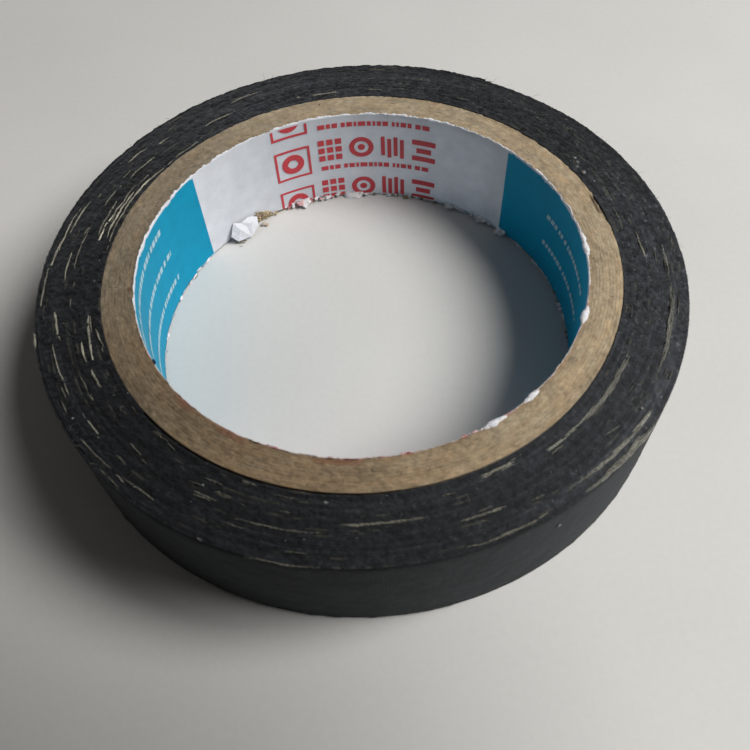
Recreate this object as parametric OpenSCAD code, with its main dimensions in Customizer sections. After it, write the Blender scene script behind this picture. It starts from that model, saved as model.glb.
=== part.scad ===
// Roll of cotton cloth electrical tape on a wound paper core.
// Frame: Z is the roll's axis, Z = 0 is the lower cut face, and the origin lies on the axis.
// The tape is one continuous strip, built from half turns. Their centres alternate between
// the axis and a point half a lap to the side, so that every lap grows out of the one below.

/* [Core] */
// Inner diameter of the core, over the printed liner
core_id = 76; // [50:1:80]
// Radial thickness of the core with its liner
core_wall = 5.5; // [3:0.1:8]
// Width of the roll along its axis
roll_w = 21; // [10:0.5:50]
// Thickness of the printed paper liner
liner_t = 0.12; // [0.08:0.01:0.3]
// Number of kraft plies in the core
ply_count = 10; // [10]
// Width of the butt seam in each ply
ply_seam = 0.4; // [0.2:0.1:0.8]
// Tilt of each butt seam from the roll's axis, in degrees
seam_tilt = 38; // [0:1:45]
// Direction from which the plies' seams are counted, in degrees
seam_start = 93; // [0:1:359]
// Turn from one ply's seam to the next, in degrees
seam_step = 137; // [31:1:170]

/* [Tape] */
// Thickness of the cotton cloth
cloth_t = 0.28; // [0.2:0.01:0.3]
// Thickness of the rubber adhesive under the cloth
adhesive_t = 0.12; // [0.08:0.01:0.2]
// Clearance left between neighbouring layers
layer_gap = 0.01; // [0.005:0.005:0.02]
// Full half turns of tape before the last, partial one; an even number
half_turns = 50; // [10:2:60]
// Distance that the adhesive stays back from each cut edge
adhesive_back = 0.15; // [0:0.05:0.5]
// Direction of the line where half turns meet, in degrees
handoff_dir = 219; // [0:1:359]

/* [Loose end] */
// Where the loose end's first fold lies, in degrees along the last half turn
end_start = 88; // [20:1:90]
// Angle that each segment of the loose end covers
seg_angle = 12; // [6:1:14]
// Number of segments in the loose end
seg_count = 6; // [6]

/* [Hidden] */
$fn = 96;

liner_color = [0.16, 0.62, 0.74];
kraft_light = [0.77, 0.64, 0.47];
kraft_dark = [0.72, 0.58, 0.41];
cloth_color = [0.13, 0.14, 0.15];
adhesive_color = [0.05, 0.05, 0.055];

// Core
core_inner_r = core_id / 2;
core_outer_r = core_inner_r + core_wall;
liner_outer_r = core_inner_r + liner_t;
ply_pitch = (core_wall - liner_t) / ply_count;
liner_seam = 0.35;      // width of the liner's seam
liner_seam_dir = -84;   // its direction, in degrees
bore_overcut = 1;       // how far a ring's bore cutter passes each face

// Block that cuts a seam: it reaches past the core wall on both sides and past both faces
seam_block_depth = 24;
seam_block_r = core_inner_r + 5;
seam_block_h = roll_w * 3;

// Tape: each layer is [inner, outer, edge], where inner and outer are measured outward from
// the lap's inner radius, and edge is the distance kept from each cut face
adhesive_outer = layer_gap + adhesive_t;
cloth_inner = adhesive_outer + layer_gap;
adhesive_layer = [layer_gap, adhesive_outer, adhesive_back];
cloth_layer = [cloth_inner, cloth_inner + cloth_t, 0];
// One lap's growth in radius
lap = cloth_t + adhesive_t + 2 * layer_gap;
// Angle by which the adhesive stops short of the strip's cut end
adhesive_stop = 0.3;

function is_even(n) = n % 2 == 0;

// A ring as wide as the roll, standing on Z = 0
module ring(inner_r, outer_r) {
    difference() {
        cylinder(r = outer_r, h = roll_w);
        translate([0, 0, -bore_overcut])
            cylinder(r = inner_r, h = roll_w + 2 * bore_overcut);
    }
}

// The block that cuts a paper seam through one side of a ring, tilted from the axis
module seam(direction, width, tilt) {
    rotate([0, 0, direction])
        translate([seam_block_r, 0, roll_w / 2])
            rotate([tilt, 0, 0])
                cube([seam_block_depth, width, seam_block_h], center = true);
}

// Printed paper that lines the bore, closed by a butt seam along the axis
module printed_liner() {
    color(liner_color) difference() {
        ring(core_inner_r, liner_outer_r);
        seam(liner_seam_dir, liner_seam, 0);
    }
}

// One ply of kraft paper; n counts outward from the liner.
// Shade and direction of tilt alternate from ply to ply.
module core_ply(n) {
    inner_r = liner_outer_r + (n - 1) * ply_pitch;
    color(is_even(n) ? kraft_light : kraft_dark) difference() {
        ring(inner_r + layer_gap, inner_r + ply_pitch);
        seam(seam_start + n * seam_step, ply_seam, is_even(n) ? seam_tilt : -seam_tilt);
    }
}

// One layer of half turn k, between two angles measured along that half turn
module arc(layer, k, from, to) {
    inner = layer[0];
    outer = layer[1];
    edge = layer[2];
    centre_x = is_even(k) ? 0 : lap / 2;
    half_start = is_even(k) ? 0 : 180;
    translate([centre_x, 0, edge])
        rotate([0, 0, half_start + from])
            rotate_extrude(angle = to - from)
                translate([core_outer_r + k * lap / 2 + inner, 0])
                    square([outer - inner, roll_w - 2 * edge]);
}

// Sets the strip on the roll, wound clockwise seen from above as it runs outward
module wound() {
    rotate([0, 0, handoff_dir]) mirror([0, 1, 0]) children();
}

// The buried laps, from the core to the line where the outermost lap begins
module laps(layer) {
    wound() union()
        for (k = [0 : half_turns - 3])
            arc(layer, k, 0, 180);
}

// The outermost lap: a full turn and the stretch that leads up to the loose end
module outer_lap(layer) {
    wound() union() {
        for (k = [half_turns - 2 : half_turns - 1])
            arc(layer, k, 0, 180);
        arc(layer, half_turns, 0, end_start);
    }
}

// Segment n of the loose end, counted from the first fold; stop shortens it at its far end
module end_segment(layer, n, stop = 0) {
    from = end_start + (n - 1) * seg_angle;
    wound() arc(layer, half_turns, from, from + seg_angle - stop);
}

module laps_cloth() {
    color(cloth_color) laps(cloth_layer);
}

module laps_adhesive() {
    color(adhesive_color) laps(adhesive_layer);
}

module outer_lap_cloth() {
    color(cloth_color) outer_lap(cloth_layer);
}

module outer_lap_adhesive() {
    color(adhesive_color) outer_lap(adhesive_layer);
}

module end_cloth(n) {
    color(cloth_color) end_segment(cloth_layer, n);
}

// The adhesive under segment n; on the last one it stops just short of the cut end
module end_adhesive(n) {
    color(adhesive_color)
        end_segment(adhesive_layer, n, stop = n == seg_count ? adhesive_stop : 0);
}

printed_liner();
core_ply(1);  // core_ply_01
core_ply(2);  // core_ply_02
core_ply(3);  // core_ply_03
core_ply(4);  // core_ply_04
core_ply(5);  // core_ply_05
core_ply(6);  // core_ply_06
core_ply(7);  // core_ply_07
core_ply(8);  // core_ply_08
core_ply(9);  // core_ply_09
core_ply(10);  // core_ply_10
laps_cloth();
laps_adhesive();
outer_lap_cloth();
outer_lap_adhesive();
end_cloth(1);  // end_cloth_1
end_cloth(2);  // end_cloth_2
end_cloth(3);  // end_cloth_3
end_cloth(4);  // end_cloth_4
end_cloth(5);  // end_cloth_5
end_cloth(6);  // end_cloth_6
end_adhesive(1);  // end_adhesive_1
end_adhesive(2);  // end_adhesive_2
end_adhesive(3);  // end_adhesive_3
end_adhesive(4);  // end_adhesive_4
end_adhesive(5);  // end_adhesive_5
end_adhesive(6);  // end_adhesive_6
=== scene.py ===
# A roll of cotton cloth electrical tape on a kraft core with a printed paper liner in its bore.
# The roll stands on the floor with its axis along +Z, the camera looks down on it from -Y.
# Lengths are worked out in millimetres and written in metres; angles along the wall are azimuths.
import math

import bpy
import numpy as np
from mathutils import Matrix, Vector


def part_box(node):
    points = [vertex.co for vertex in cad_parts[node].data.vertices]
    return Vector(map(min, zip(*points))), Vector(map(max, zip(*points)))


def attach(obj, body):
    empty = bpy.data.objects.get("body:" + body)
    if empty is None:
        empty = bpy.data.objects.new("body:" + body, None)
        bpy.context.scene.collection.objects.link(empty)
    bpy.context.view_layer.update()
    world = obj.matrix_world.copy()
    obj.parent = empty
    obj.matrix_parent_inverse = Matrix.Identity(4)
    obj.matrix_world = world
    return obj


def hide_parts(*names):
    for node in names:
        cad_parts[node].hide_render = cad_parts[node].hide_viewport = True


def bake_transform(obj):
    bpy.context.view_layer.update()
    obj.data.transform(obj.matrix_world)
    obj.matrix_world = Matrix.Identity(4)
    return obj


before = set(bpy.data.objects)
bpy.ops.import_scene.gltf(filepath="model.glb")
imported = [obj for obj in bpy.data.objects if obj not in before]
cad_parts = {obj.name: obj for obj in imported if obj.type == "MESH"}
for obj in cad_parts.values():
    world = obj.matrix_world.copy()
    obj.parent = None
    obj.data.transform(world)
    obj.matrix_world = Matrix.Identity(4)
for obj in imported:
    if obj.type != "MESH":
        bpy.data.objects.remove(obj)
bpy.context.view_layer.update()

# ---------------------------------------------------------------- sizes
MM = 0.001
low_corner, high_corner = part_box("printed_liner")
LINER_T = 0.12                                  # thickness of the paper liner
TOP = high_corner.z / MM                        # upper face, also the width of the roll
BORE = round((high_corner.x - low_corner.x) / 2 / MM - LINER_T, 2)      # radius
BORE = 38.0 if abs(BORE - 38.0) < 0.06 else BORE
CORE_R = 43.5                                   # outer radius of the kraft core
PLIES = 10
PLY_R = BORE + LINER_T                          # inner radius of the first ply
PLY_PITCH = (CORE_R - PLY_R) / PLIES
LAP = 0.42                                      # growth in radius per lap
FILM_IN, FILM_OUT = 0.01, 0.13                  # adhesive and cloth, out from the lap's radius
CLOTH_IN, CLOTH_OUT = 0.14, 0.42
HALF_TURNS = 50                                 # half turns before the last one
JOINT = 219.0                                   # azimuth where half turns meet
LAST_LAPS = (HALF_TURNS - 2) * 180              # degrees along the strip
LOOSE = HALF_TURNS * 180 + 88.0                 # the loose end's fold
SEGMENT = 12.0                                  # degrees per segment of the loose end
STRIP_END = LOOSE + 6 * SEGMENT
RIM = CORE_R + HALF_TURNS * LAP / 2 + CLOTH_OUT     # outer radius of the roll
DROP = -0.50                                    # the last laps sit lower: a soft corner

# The camera, and the card beside it
CAMERA_PLACE = Vector((0, -92.75, 122.2))
CAMERA_RIGHT = Vector((0.99735, -0.06433, -0.03401))
CAMERA_UP = Vector((0.07231, 0.82419, 0.56167))
CAMERA_AHEAD = Vector((0.00810, 0.56264, -0.82666))

TABLE = np.random.default_rng(20411).random(1 << 16) * 2 - 1


# ---------------------------------------------------------------- noise and curves
def lattice(ix, iy, iz, seed):
    """The random value at a whole-numbered point."""
    key = (ix * 73856093) ^ (iy * 19349663) ^ (iz * 83492791) ^ (seed * 2654435761 & 0x7FFFFFFF)
    key = (key ^ (key >> 13)) * 1274126177
    key = key ^ (key >> 16)
    return TABLE[key & 0xFFFF]


def noise(x, y=0.0, z=0.0, seed=0):
    """Smooth value noise from -1 to 1, on arrays."""
    place = [np.asarray(v, float) for v in np.broadcast_arrays(x, y, z)]
    ix, iy, iz = (np.floor(v).astype(np.int64) for v in place)
    part = [v - i for v, i in zip(place, (ix, iy, iz))]
    fx, fy, fz = (f * f * (3 - 2 * f) for f in part)
    total = 0
    for dz, weight_z in ((0, 1 - fz), (1, fz)):
        for dy, weight_y in ((0, 1 - fy), (1, fy)):
            start = lattice(ix, iy + dy, iz + dz, seed)
            end = lattice(ix + 1, iy + dy, iz + dz, seed)
            total = total + weight_z * weight_y * (start + (end - start) * fx)
    return total


def fbm(x, y=0.0, seed=0):
    """Three octaves of noise."""
    total, scale = 0, 1.0
    for octave in range(3):
        total = total + 0.5 ** octave * noise(x * scale, y * scale, seed=seed + 31 * octave)
        scale *= 2.03
    return total / 1.75


def smooth(start, end, x):
    """0 at start, 1 at end, with a smooth step between."""
    part = np.clip((np.asarray(x, float) - start) / (end - start), 0, 1)
    return part * part * (3 - 2 * part)


def between(x, rise0, rise1, fall0, fall1):
    """Rises to 1 over the first pair and falls back to 0 over the second."""
    return smooth(rise0, rise1, x) * (1 - smooth(fall0, fall1, x))


def toward(colors, target, weight):
    """Colours moved toward a target by a weight."""
    return colors + (np.array(target) - colors) * weight[..., None]


# ---------------------------------------------------------------- mesh helpers
# A mesh here is the tuple (points, quads, triangles, quad UVs, triangle UVs).
MADE = []


def outward(mesh):
    """The mesh with its faces turned outward."""
    verts, quads, tris = mesh[:3]
    corners = verts[np.concatenate([quads[:, :3], quads[:, [0, 2, 3]], tris])]
    volume = np.einsum("ij,ij->i", corners[:, 0], np.cross(corners[:, 1], corners[:, 2])).sum()
    return (verts, *(part[:, ::-1] for part in mesh[1:])) if volume < 0 else mesh


def build(name, mesh, materials, colors, quad_materials=0, flat_quads=False):
    """An object from a mesh in millimetres. Triangles are always shaded flat."""
    verts, quads, tris, quad_uvs, tri_uvs = mesh
    quad_count, tri_count = len(quads), len(tris)
    faces = quad_count + tri_count
    data = bpy.data.meshes.new(name)
    data.vertices.add(len(verts))
    data.vertices.foreach_set("co", (verts * MM).astype(np.float32).ravel())
    data.loops.add(quad_count * 4 + tri_count * 3)
    corners = np.concatenate([quads.ravel(), tris.ravel()]).astype(np.int32)
    data.loops.foreach_set("vertex_index", corners)
    data.polygons.add(faces)
    starts = np.concatenate([np.arange(quad_count) * 4, quad_count * 4 + np.arange(tri_count) * 3])
    data.polygons.foreach_set("loop_start", starts.astype(np.int32))
    slots = np.zeros(faces, np.int32)
    slots[:quad_count] = quad_materials
    data.polygons.foreach_set("material_index", slots)
    data.update(calc_edges=True)
    shaded_smooth = np.zeros(faces, bool)
    shaded_smooth[:quad_count] = np.logical_not(flat_quads)
    data.polygons.foreach_set("use_smooth", shaded_smooth)
    uvs = np.concatenate([quad_uvs.reshape(-1, 2), tri_uvs.reshape(-1, 2)]).astype(np.float32)
    data.uv_layers.new(name="UVMap").data.foreach_set("uv", uvs.ravel())
    shade = np.ones((len(verts), 4), np.float32)
    shade[:, :3] = colors.reshape(-1, 3)
    data.attributes.new("shade", "FLOAT_COLOR", "POINT").data.foreach_set("color", shade.ravel())
    for material in materials:
        data.materials.append(material)
    data.validate()
    ob = bpy.data.objects.new(name, data)
    bpy.context.scene.collection.objects.link(ob)
    MADE.append(ob)
    return ob


def lengths(points):
    """Length along a line of points, from 0."""
    steps = np.linalg.norm(np.diff(points, axis=0), axis=1)
    return np.concatenate([[0], np.cumsum(steps)])


def around_section(out, z):
    """Length around a closed section, back to its first point."""
    points = np.stack([out, z], -1)
    return lengths(np.concatenate([points, points[:1]]))


def sweep(points, u_coords, v_coords, caps=None):
    """The mesh of a closed section swept along the rows of points (rows, section, 3).
    v_coords has one more entry than the section. The ends are fans unless caps gives triangles."""
    rows, size = points.shape[:2]
    row, column = np.meshgrid(np.arange(rows - 1), np.arange(size), indexing="ij")
    corners = ((0, 0), (1, 0), (1, 1), (0, 1))
    quads = np.stack([(row + i) * size + (column + j) % size for i, j in corners], -1)
    uvs = np.stack([np.stack([u_coords[row + i], v_coords[column + j]], -1) for i, j in corners], -2)
    if caps is None:
        j = np.arange(1, size - 1)
        zero = np.zeros_like(j)
        caps = np.concatenate([np.stack([zero, j, j + 1], -1),
                               np.stack([zero, j + 1, j], -1) + (rows - 1) * size])
    return outward((points.reshape(-1, 3), quads.reshape(-1, 4), caps,
                    uvs.reshape(-1, 4, 2), np.zeros((len(caps), 3, 2))))


def sweep_object(name, points, u_coords, v_coords, materials, colors=1.0,
                 quad_materials=0, flat=False, caps=None):
    """A swept object. Materials and flatness may be given per section column or per quad."""
    rows, size = points.shape[:2]

    def each(values):
        return np.broadcast_to(values, (rows - 1, size)).ravel()

    return build(name, sweep(points, u_coords.ravel(), v_coords, caps), materials,
                 np.broadcast_to(colors, points.shape), each(quad_materials), each(flat))


class Heap:
    """Collects many small closed shells into one mesh."""

    def __init__(self):
        self.meshes, self.colors, self.count = [], [], 0

    def add_mesh(self, mesh, color):
        verts, quads, tris, *uvs = mesh
        self.meshes.append((verts, quads + self.count, tris + self.count, *uvs))
        color = np.asarray(color, float).reshape(-1, 3)
        self.colors.append(np.broadcast_to(color, verts.shape))
        self.count += len(verts)

    def add(self, points, color, u_coords=None, v_coords=None):
        if u_coords is None:
            u_coords = lengths(points.mean(1))
            v_coords = lengths(points[len(points) // 2])
            v_coords = np.append(v_coords, v_coords[-1] + np.diff(v_coords).mean())
        self.add_mesh(sweep(points, u_coords, v_coords), color)

    def object(self, name, material, carrier="roll", flat=False):
        mesh = [np.concatenate(part) for part in zip(*self.meshes)]
        ob = build(name, mesh, (material,), np.concatenate(self.colors), flat_quads=flat)
        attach(ob, carrier)


def fit(ob, replaced):
    """Lets an object ride on the roll in place of a CAD piece."""
    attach(ob, "roll")
    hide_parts(replaced)


# ---------------------------------------------------------------- the strip's path
def strip(turn, out, z):
    """Points of the strip: turn in degrees from its inner end, out from the lap's radius, z up."""
    turn, out, z = np.broadcast_arrays(turn, out, z)
    half = np.clip(np.floor(turn / 180 + 1e-9), 0, HALF_TURNS)
    center = np.where(half % 2 == 1, LAP / 2, 0.0)
    radius = CORE_R + half * LAP / 2 + out
    angle, joint = np.radians(turn), math.radians(JOINT)
    x, y = center + radius * np.cos(angle), -radius * np.sin(angle)
    return np.stack([x * math.cos(joint) - y * math.sin(joint),
                     x * math.sin(joint) + y * math.cos(joint), z], -1)


def arc_length(turn):
    """Length along the strip in millimetres."""
    return np.radians(turn) * (CORE_R + turn / 360 * LAP / 2 + 0.28)


def lap_radius(turn):
    return CORE_R + turn / 360 * LAP


def azimuth_of(turn):
    return (JOINT - turn) % 360


def shoulder(radius):
    """How far the upper edge is lowered toward the rim."""
    return DROP * smooth(48.0, RIM + 1.5, radius)


# ---------------------------------------------------------------- materials
SOCKETS = {"color": "Base Color", "rough": "Roughness", "specular": "Specular IOR Level",
           "sheen": "Sheen Weight", "sheen_rough": "Sheen Roughness", "sheen_tint": "Sheen Tint",
           "normal": "Normal"}


class Graph:
    """A new material and short calls for its nodes."""

    def __init__(self, name):
        self.material = bpy.data.materials.new(name)
        self.material.use_nodes = True
        self.tree = self.material.node_tree
        self.tree.nodes.clear()
        output = self.node("OutputMaterial")
        self.bsdf = self.node("BsdfPrincipled")
        self.put(output.inputs[0], self.bsdf.outputs[0])

    def node(self, kind, **props):
        node = self.tree.nodes.new("ShaderNode" + kind)
        for key, value in props.items():
            setattr(node, key, value)
        return node

    def put(self, socket, value):
        if isinstance(value, bpy.types.NodeSocket):
            self.tree.links.new(value, socket)
        else:
            socket.default_value = value

    def fill(self, node, **inputs):
        for key, value in inputs.items():
            self.put(node.inputs[key.replace("_", " ")], value)
        return node.outputs[0]

    def surface(self, **values):
        for key, value in values.items():
            self.put(self.bsdf.inputs[SOCKETS[key]], value)
        return self.material

    def uv(self):
        return self.node("UVMap", uv_map="UVMap").outputs[0]

    def object_coords(self):
        return self.node("TexCoord").outputs["Object"]

    def shade(self):
        """The base colour stored on the mesh."""
        return self.node("Attribute", attribute_name="shade").outputs["Color"]

    def stretched(self, vector, stretch):
        return self.fill(self.node("Mapping"), Vector=vector, Scale=(*stretch, 1.0)[:3])

    def noise(self, vector, stretch=None, scale=1.0, detail=2.0, rough=0.55, distort=0.0):
        if stretch:
            vector = self.stretched(vector, stretch)
        return self.fill(self.node("TexNoise"), Vector=vector, Scale=scale, Detail=detail,
                         Roughness=rough, Distortion=distort)

    def math(self, operation, first, second=0.0):
        node = self.node("Math", operation=operation)
        self.put(node.inputs[0], first)
        self.put(node.inputs[1], second)
        return node.outputs[0]

    def times(self, first, second):
        return self.math("MULTIPLY", first, second)

    def plus(self, first, second):
        return self.math("ADD", first, second)

    def ramp(self, value, to=(0.0, 1.0), over=(0.3, 0.7)):
        return self.fill(self.node("MapRange"), Value=value, From_Min=over[0], From_Max=over[1],
                         To_Min=to[0], To_Max=to[1])

    def mix(self, factor, first, second, mode="MIX"):
        node = self.node("Mix", data_type="RGBA", blend_type=mode)
        self.put(node.inputs["Factor"], factor)
        for socket, value in ((node.inputs[6], first), (node.inputs[7], second)):
            self.put(socket, (*value, 1.0) if isinstance(value, tuple) else value)
        return node.outputs[2]

    def tint(self, color, value):
        """Multiplies a colour by a value."""
        node = self.node("VectorMath", operation="SCALE")
        self.put(node.inputs[0], color)
        return self.fill(node, Scale=value)

    def bump(self, height, strength, distance, normal=None):
        node = self.node("Bump")
        if normal is not None:
            self.put(node.inputs["Normal"], normal)
        return self.fill(node, Strength=strength, Distance=distance * MM, Height=height)

    def split(self, vector):
        node = self.node("SeparateXYZ")
        self.put(node.inputs[0], vector)
        return node.outputs[0], node.outputs[1]

    def lean(self, uv, degrees):
        """Cut fibres lean outward, so a face shades as if it sloped along the section."""
        slope = -math.tan(math.radians(degrees))
        return self.bump(self.times(self.split(uv)[1], slope), strength=1.0, distance=1.0)


def cloth_material(name, rough, yarn_pitch=None):
    """Cotton cloth filled with rubber; a yarn pitch in millimetres adds the weave."""
    g = Graph(name)
    uv = g.uv()
    fine = g.noise(uv, stretch=(2.6, 3.4), detail=3.0, rough=0.6)
    broad = g.noise(uv, stretch=(0.16, 0.5))
    value = g.times(g.ramp(fine, to=(0.62, 1.38), over=(0.3, 0.72)),
                    g.ramp(broad, to=(0.82, 1.18)))
    if yarn_pitch:
        x, y = g.split(uv)
        wobble = g.times(g.noise(uv, stretch=(0.7, 0.7), detail=3.0, rough=0.6), 6.5)
        per_mm = math.pi / yarn_pitch

        def wave(coordinate, rate):
            return g.math("SINE", g.plus(g.times(coordinate, rate), wobble))

        # plain weave: one raised crossing per yarn pitch
        cells = g.math("ABSOLUTE", g.times(wave(x, per_mm), wave(y, per_mm)))
        twill = wave(g.plus(x, g.times(y, 0.85)), per_mm * 0.8)
        height = g.plus(g.times(cells, 0.34), g.plus(g.times(twill, 0.24), g.times(fine, 1.3)))
        value = g.times(value, g.ramp(cells, to=(0.84, 1.08), over=(0.0, 0.7)))
        value = g.times(value, g.ramp(twill, to=(0.90, 1.10), over=(-1.0, 1.0)))
        normal = g.bump(height, strength=0.45, distance=0.10)
    else:
        normal = g.bump(fine, strength=0.7, distance=0.14, normal=g.lean(uv, degrees=14))
    return g.surface(color=g.tint(g.shade(), value),
                     rough=g.ramp(fine, to=(rough - 0.1, rough + 0.08)), specular=0.22,
                     sheen=0.05, sheen_rough=0.5, sheen_tint=(0.75, 0.8, 0.9, 1), normal=normal)


def adhesive_material(name, use_uv):
    g = Graph(name)
    place = g.uv() if use_uv else g.stretched(g.object_coords(), (1000, 1000, 1000))
    mottle = g.noise(place, stretch=(0.9, 0.9, 0.9), detail=4.0, rough=0.6)
    cells = g.node("TexVoronoi")
    g.fill(cells, Vector=g.stretched(place, (1.7, 1.7, 1.7)), Scale=1.0)
    height = g.plus(mottle, g.times(cells.outputs["Distance"], 0.4))
    dark, light = (0.012, 0.012, 0.013), (0.03, 0.03, 0.031)
    return g.surface(color=g.mix(g.ramp(mottle, over=(0.35, 0.7)), dark, light),
                     rough=g.ramp(mottle, to=(0.34, 0.62)),
                     normal=g.bump(height, strength=0.5, distance=0.12))


def kraft_material(name):
    g = Graph(name)
    uv = g.uv()
    fibre = g.noise(uv, stretch=(1.3, 1.7), detail=4.0, rough=0.62, distort=0.6)
    fine = g.noise(uv, stretch=(3.0, 3.2), detail=3.0, rough=0.6)
    mottle = g.noise(uv, stretch=(0.3, 0.6), detail=3.0, rough=0.6)
    value = g.times(g.ramp(fibre, to=(0.86, 1.12)), g.ramp(fine, to=(0.84, 1.14)))
    base = g.tint(g.shade(), value)
    warmer = g.mix(1.0, base, (1.05, 0.97, 0.88), "MULTIPLY")
    return g.surface(color=g.mix(g.ramp(mottle, over=(0.42, 0.72)), base, warmer),
                     rough=g.ramp(fibre, to=(0.84, 0.98)), specular=0.2, sheen=0.15,
                     normal=g.bump(g.plus(fibre, g.times(fine, 0.9)), strength=0.42,
                                   distance=0.16, normal=g.lean(uv, degrees=12)))


def paper_material(name, base, rough=0.62, speck=0.06, fibre=0.05, specular=0.4):
    """Paper or flat ink on paper. speck and fibre set how strong the mottling and fibres are."""
    g = Graph(name)
    uv = g.uv()
    mottle = g.noise(uv, stretch=(0.35, 0.35), detail=3.0)
    fibres = g.noise(uv, stretch=(2.0, 6.0), detail=3.0, rough=0.65)
    value = g.times(g.ramp(mottle, to=(1 - speck, 1 + speck)),
                    g.ramp(fibres, to=(1 - fibre, 1 + fibre)))
    return g.surface(color=g.tint(g.mix(1.0, g.shade(), base, "MULTIPLY"), value),
                     rough=g.ramp(fibres, to=(rough - 0.08, rough + 0.1)), specular=specular,
                     normal=g.bump(g.plus(fibres, mottle), strength=0.3, distance=0.05))


def yarn_material(name):
    g = Graph(name)
    uv = g.uv()
    x, y = g.split(uv)
    twist = g.math("SINE", g.plus(g.times(x, 7.5), g.times(y, 6.0)))
    fuzz = g.noise(uv, stretch=(1.4, 5.0), detail=4.0, rough=0.7)
    soot = g.noise(uv, stretch=(0.5, 1.2), detail=3.0, rough=0.6)
    value = g.times(g.ramp(twist, to=(0.86, 1.12), over=(-1, 1)), g.ramp(fuzz, to=(0.8, 1.15)))
    color = g.mix(g.ramp(soot, over=(0.52, 0.74)), g.tint(g.shade(), value), (0.07, 0.07, 0.062))
    return g.surface(color=color, rough=0.9, specular=0.2, sheen=0.2,
                     normal=g.bump(g.plus(twist, fuzz), strength=0.7, distance=0.06))


EDGE_CLOTH = cloth_material("cloth_cut_edge", rough=0.86)
FACE_CLOTH = cloth_material("cloth_weave", rough=0.82, yarn_pitch=0.50)
ADHESIVE = adhesive_material("rubber_adhesive", True)
CAD_ADHESIVE = adhesive_material("rubber_adhesive_film", False)
KRAFT = kraft_material("kraft_board")
PAPER = paper_material("liner_paper", (0.67, 0.69, 0.74))
CYAN_INK = paper_material("liner_cyan_ink", (0.001, 0.275, 0.455), rough=0.5, speck=0.05,
                          specular=0.12)
RED_INK = paper_material("liner_red_ink", (0.60, 0.05, 0.065), rough=0.5, speck=0.10, fibre=0.12)
LIGHT_INK = paper_material("liner_light_ink", (0.40, 0.62, 0.70), rough=0.5, speck=0.10,
                           fibre=0.10, specular=0.3)
TORN_PAPER = paper_material("torn_paper", (0.74, 0.74, 0.75), rough=0.9, speck=0.10, fibre=0.16,
                            specular=0.2)
YARN = yarn_material("cotton_yarn")

# ---------------------------------------------------------------- the wound cloth
EDGE_COLOR = np.array([0.0220, 0.0238, 0.0274])
FACE_COLOR = np.array([0.0255, 0.0285, 0.0312])
BARE_COLOR = np.array([0.21, 0.20, 0.155])
CLOTH_STEP = 0.25       # degrees
OUTER_STEP = 0.28
END_STEP = 0.3
FACE_ROWS = 40


def front_of(turn):
    """1 where the strip passes the front, which is rubbed smooth, 0 at the back."""
    return between(azimuth_of(turn), 190, 225, 318, 345)


def lap_height(turn):
    """How far a lap's cut edge stands above or below its neighbours."""
    run = arc_length(turn)
    height = 0.070 * noise(run / 46.0, seed=1) + 0.035 * noise(run / 11.0, seed=2)
    return height * (1 - 0.5 * front_of(turn)) * smooth(-200, 900, turn)


def weft_wave(run, seed=5):
    return np.sin(2 * math.pi * run / 0.76 + 2.2 * noise(run / 21.0, seed=seed))


def edge_lumps(run, seed=5):
    """The edge's warp yarn rides over and under the weft, so it is lumpy at the weft's pitch."""
    return 0.022 * weft_wave(run, seed) + 0.045 * noise(run / 0.42, seed=seed + 1)


def cloth_section(face_rows):
    """Columns: out, z, and the weights of the top, bottom and outer-face relief."""
    section = [(CLOTH_IN, 0.14, 0, 0.6, 0), (0.07, TOP - 0.005, 1, 0, 0), (0.11, TOP, 1, 0, 0),
               (0.20, TOP, 1, 0, 0), (0.32, TOP, 1, 0, 0), (CLOTH_OUT, TOP, 1, 0, 0.2)]
    if face_rows:
        levels = np.concatenate([np.linspace(TOP - 0.22, TOP - 1.6, 9)[:-1],
                                 np.linspace(TOP - 1.6, 0.26, face_rows - 8)])
        section += [(CLOTH_OUT, z, 0.8 * max(0, 1 - (TOP - 0.22 - z)), 0, 1.0) for z in levels]
    else:
        section += [(0.485, TOP - 0.002, 1, 0, 0), (CLOTH_OUT, 0.22, 0, 0.6, 0)]
    return np.array(section + [(0.37, 0.10, 0, 1, 0.2), (0.28, 0.05, 0, 1, 0),
                               (0.19, 0.03, 0, 1, 0)])


def face_relief(run, z):
    """Waves of the outer face, its rounded edges and the lumps along them."""
    waves = (0.11 * noise(run / 17.0, z / 21.0, seed=13) + 0.05 * fbm(run / 4.0, z / 3.0, seed=15)
             + 0.045 * fbm(run / 1.1, z / 1.1, seed=16))
    roll = -0.40 * smooth(TOP - 2.4, TOP + 0.1, z) ** 2 - 0.18 * smooth(1.2, -0.1, z) ** 2
    upper = 0.085 * smooth(TOP - 1.2, TOP - 0.2, z) * weft_wave(run)
    lower = smooth(1.8, 0.3, z) * (0.06 * noise(run / 0.5, seed=21) + 0.14 * noise(run / 1.9, seed=23)
                                   + 0.10 * noise(run / 5.0, seed=24))
    return waves + roll + upper + lower


def face_colors(run, z, azimuth):
    tone = 1 + 0.14 * fbm(run / 9.0, z / 5.0, seed=36) + 0.12 * noise(run / 1.3, z / 0.9, seed=37)
    # darker toward the upper edge, and painted shade toward the floor
    tone = tone * (1 - 0.12 * smooth(TOP - 2.0, TOP - 0.2, z)) * (1 - 0.15 * smooth(1.2, 0.3, z))
    rubbed = (smooth(0.45, 0.8, noise(run / 4.5, z / 2.2, seed=38))
              * smooth(0.0, 0.6, noise(run / 0.8, z / 0.7, seed=39)))
    tone = tone * (1 - 0.28 * between(azimuth, 278, 292, 342, 359))
    return FACE_COLOR * (tone * (1 + 0.45 * rubbed))[..., None]


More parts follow.
